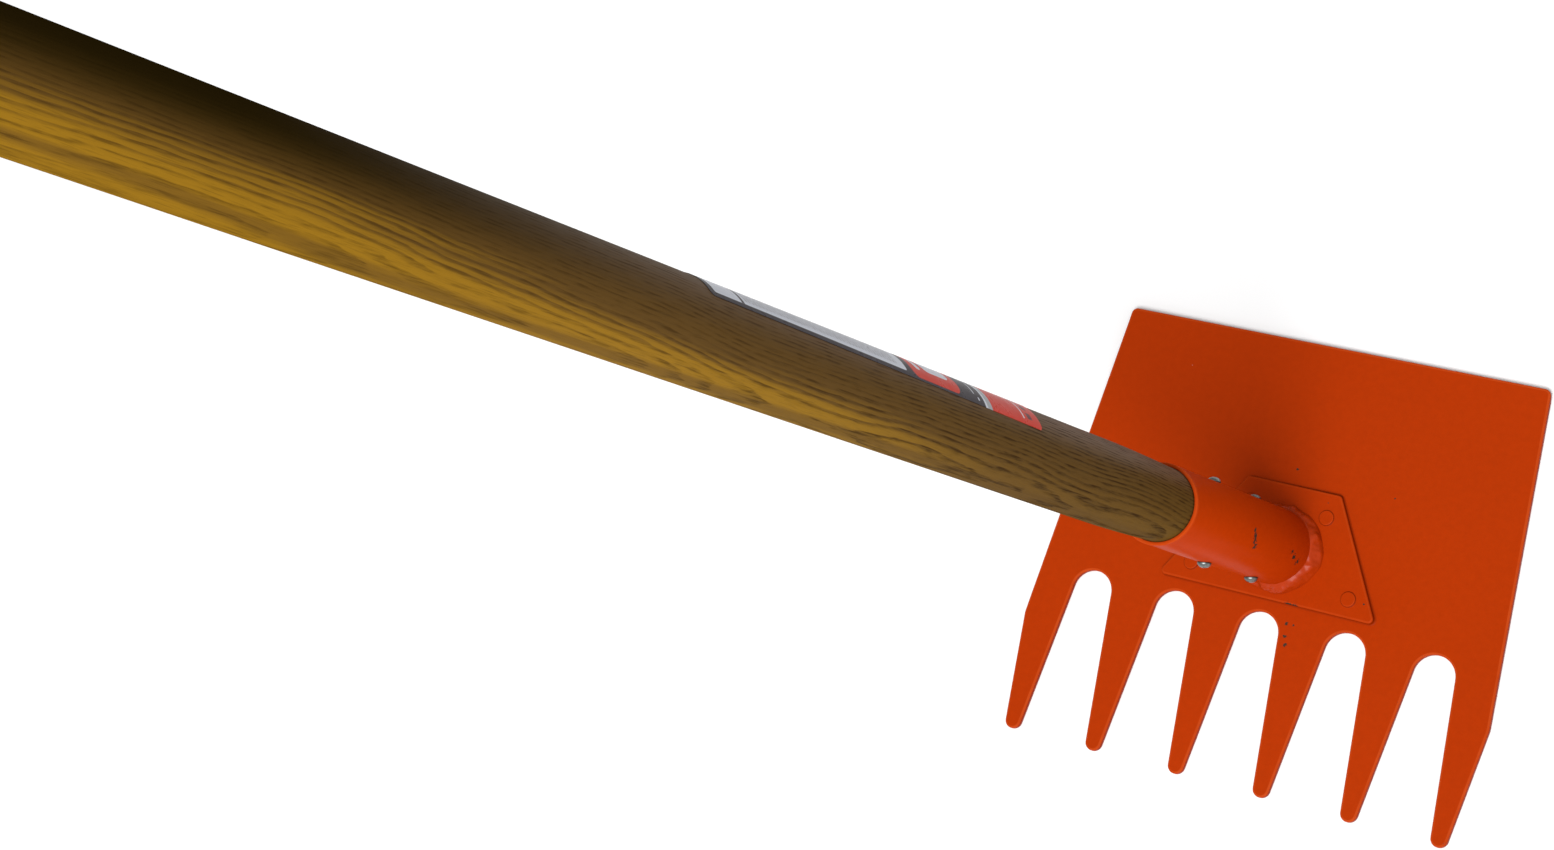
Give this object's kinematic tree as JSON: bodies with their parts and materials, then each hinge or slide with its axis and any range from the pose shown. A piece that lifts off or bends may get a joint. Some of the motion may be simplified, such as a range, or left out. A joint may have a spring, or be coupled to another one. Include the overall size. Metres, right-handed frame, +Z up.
{
  "type": "rake hoe",
  "caption": "Hand rake hoe: a flat steel blade with tapered tines on one side and a straight hoe edge on the other, riveted base plate, welded socket and a long wooden handle.",
  "frame": {"origin": "On the blade's flat underside, under the middle of the overall outline in plan. The tool stands on its blade.", "axes": "+Z up along the handle side, +Y towards the hoe edge, -Y towards the tines, +X across the blade. The plane x = 0 is the tool's symmetry plane. The handle leans 2.75 degrees from +Z towards -Y."},
  "size_m": [0.2716, 0.2438, 1.2389],
  "materials": {
    "paint": "orange-red gloss enamel with a fine orange peel, chipped in places",
    "weld_paint": "the same enamel, thick and glossy over a lumpy weld",
    "zinc": "bright zinc plate",
    "wood": "dark stained ash under satin lacquer",
    "label_film": "printed film, satin"
  },
  "bodies": {
    "root": {"blade": "paint", "base_plate": "paint", "base_rivet_front_left": "paint", "base_rivet_front_right": "paint", "base_rivet_rear_left": "paint", "base_rivet_rear_right": "paint", "socket_tube": "paint", "weld_bead": "weld_paint", "handle": "wood", "handle_rivet_lower": "zinc", "handle_rivet_upper": "zinc", "label": "label_film"}
  },
  "joints": []
}
